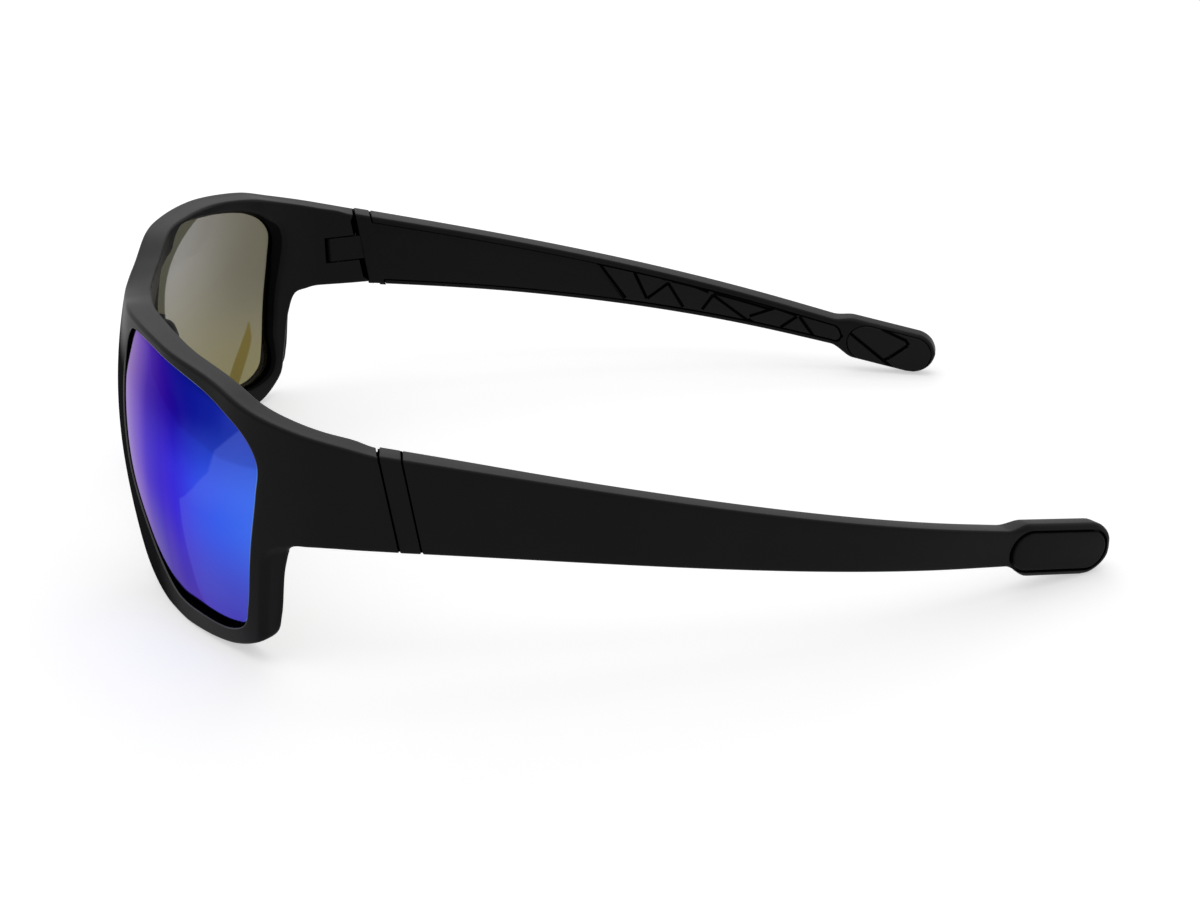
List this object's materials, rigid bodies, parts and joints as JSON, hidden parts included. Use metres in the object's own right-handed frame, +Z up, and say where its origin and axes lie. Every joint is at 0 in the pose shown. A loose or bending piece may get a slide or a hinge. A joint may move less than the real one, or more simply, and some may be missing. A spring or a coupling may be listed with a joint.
{
  "type": "wrap-around sunglasses",
  "caption": "Wrap-around sunglasses for glacier and mountain use, with curved mirror lenses, folding temples and rubber grips at nose and ears.",
  "frame": {"origin": "centre of the bounding box's underside: the surface that the open glasses stand on, midway between the sides", "axes": "+Z up; -Y the way the wearer looks, so the open temples run to +Y; +X the wearer's left"},
  "size_m": [0.1396, 0.1732, 0.0491],
  "materials": {
    "frame": "matte black injection-moulded polyamide, very fine satin grain",
    "temple": "matte black moulded plastic with a soft-touch satin surface",
    "lens": "smoke polycarbonate with a blue to violet mirror coating on the outside",
    "grip_rubber": "matte black soft rubber with fine grain",
    "soft_rubber": "soft black silicone-like rubber",
    "screw_steel": "plain stainless steel",
    "insert_brass": "plain brass"
  },
  "bodies": {
    "front": {"front_frame": "frame", "lens_left": "lens", "lens_right": "lens", "nose_pad_left": "soft_rubber", "nose_pad_right": "soft_rubber", "hinge_screw_left": "screw_steel", "hinge_screw_right": "screw_steel", "hinge_insert_left": "insert_brass", "hinge_insert_right": "insert_brass"},
    "temple_left": {"temple_core_left": "frame", "temple_shell_left": "temple", "temple_grip_left": "grip_rubber", "tip_grip_left": "grip_rubber", "tip_pad_left": "grip_rubber"},
    "temple_right": {"temple_core_right": "frame", "temple_shell_right": "temple", "temple_grip_right": "grip_rubber", "tip_grip_right": "grip_rubber", "tip_pad_right": "grip_rubber"}
  },
  "joints": [
    {"name": "fold_left", "type": "hinge", "parent": "front", "child": "temple_left", "pos_m": [0.06511, -0.0454, 0.031], "axis": [0, 0, 1], "range_deg": [0, 86]},
    {"name": "fold_right", "type": "hinge", "parent": "front", "child": "temple_right", "pos_m": [-0.06511, -0.0454, 0.031], "axis": [0, 0, -1], "range_deg": [0, 76]}
  ]
}
